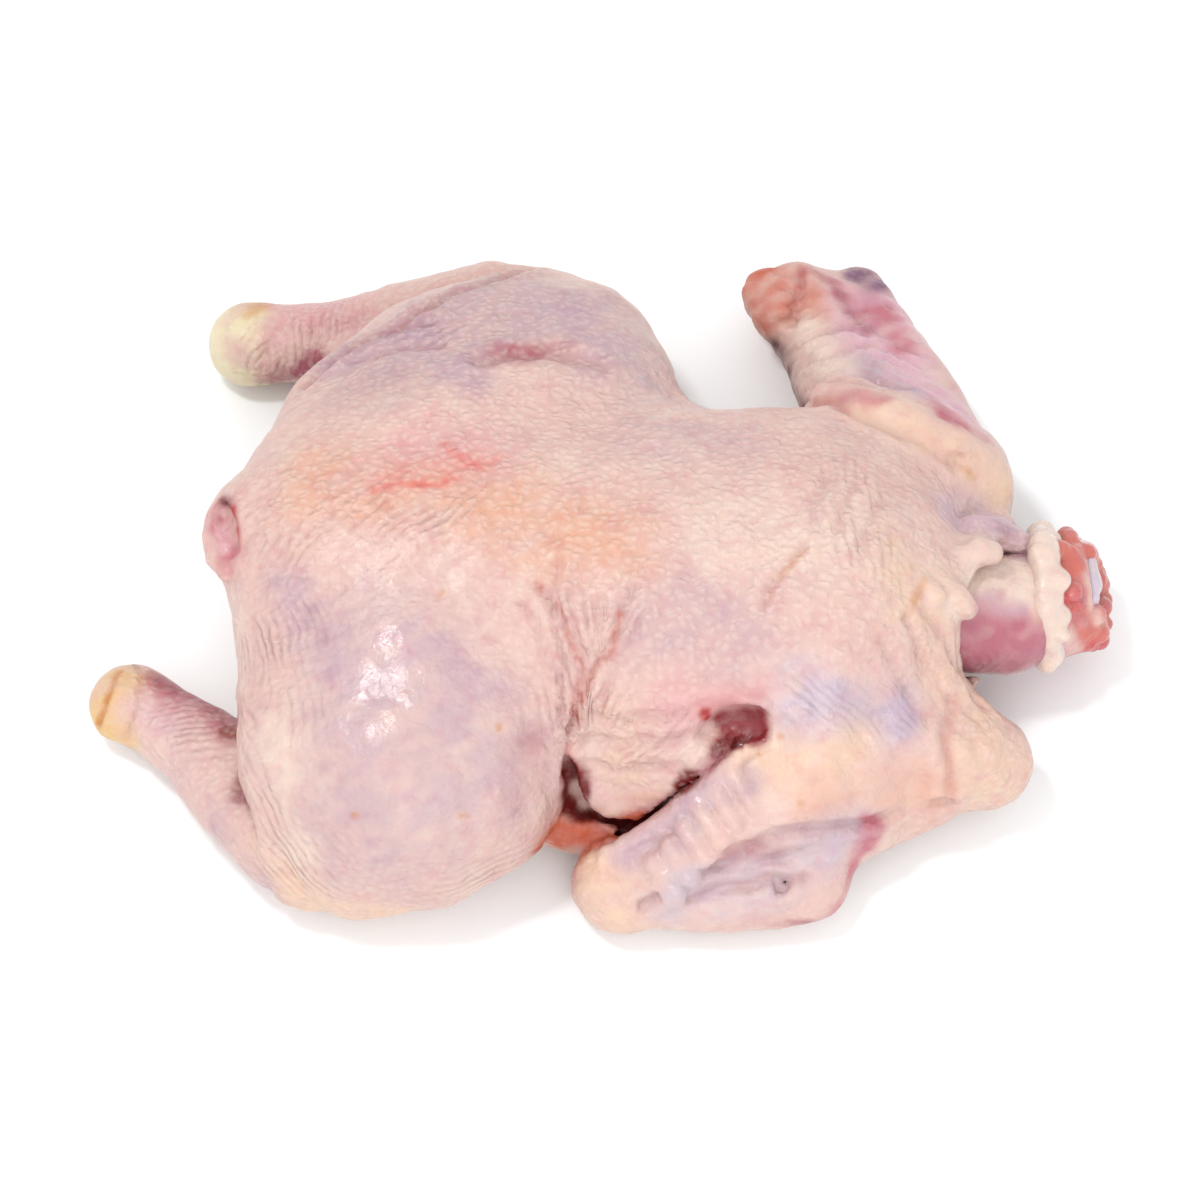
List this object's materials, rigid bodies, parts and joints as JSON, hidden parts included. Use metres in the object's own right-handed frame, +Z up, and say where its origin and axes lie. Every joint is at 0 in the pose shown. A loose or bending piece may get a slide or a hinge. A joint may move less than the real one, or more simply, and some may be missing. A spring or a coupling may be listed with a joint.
{
  "type": "whole raw chicken",
  "caption": "Plucked raw chicken lying on its breast with its back up, legs folded beside it, wings folded, neck skin torn back from a bare cut neck.",
  "frame": {"origin": "middle of the bird's footprint box, at the height of the table it lies on", "axes": "+X from the tail to the neck, +Y to the bird's left, +Z up out of its back"},
  "size_m": [0.3106, 0.2356, 0.0833],
  "materials": {
    "skin": "satin",
    "meat": "satin",
    "fat": "satin",
    "bone": "satin",
    "gristle": "satin"
  },
  "bodies": {
    "root": {"carcass": "skin", "neck": "meat", "neck_fat": "fat", "neck_bone": "bone", "windpipe": "gristle"}
  },
  "joints": []
}
